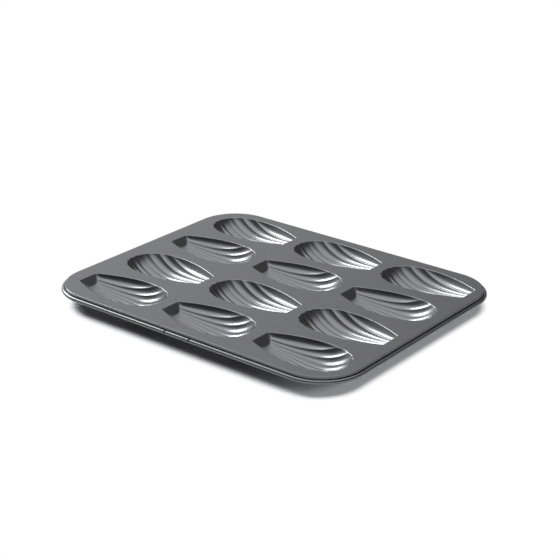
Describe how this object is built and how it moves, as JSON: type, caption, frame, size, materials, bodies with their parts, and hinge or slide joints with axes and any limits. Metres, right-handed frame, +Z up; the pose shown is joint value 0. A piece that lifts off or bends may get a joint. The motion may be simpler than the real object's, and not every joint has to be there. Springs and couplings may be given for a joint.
{
  "type": "madeleine pan",
  "caption": "Non-stick steel baking pan with shell-shaped fluted cups in rows that point opposite ways, and a curled rim.",
  "frame": {"origin": "middle of the base, on the surface that the pan stands on", "axes": "+Z up, +X along the long side, with the cups' long axes along X; the two notches in the curl are in the middle of the -Y side"},
  "size_m": [0.2858, 0.2312, 0.0158],
  "materials": {
    "nonstick_steel": "dark grey semi-gloss non-stick coat",
    "wire": "dull drawn steel, coated with the sheet"
  },
  "bodies": {
    "root": {"top_sheet": "nonstick_steel", "rim_wire": "wire", "cup_1_1": "nonstick_steel", "cup_1_2": "nonstick_steel", "cup_1_3": "nonstick_steel", "cup_2_1": "nonstick_steel", "cup_2_2": "nonstick_steel", "cup_2_3": "nonstick_steel", "cup_3_1": "nonstick_steel", "cup_3_2": "nonstick_steel", "cup_3_3": "nonstick_steel", "cup_4_1": "nonstick_steel", "cup_4_2": "nonstick_steel", "cup_4_3": "nonstick_steel"}
  },
  "joints": []
}
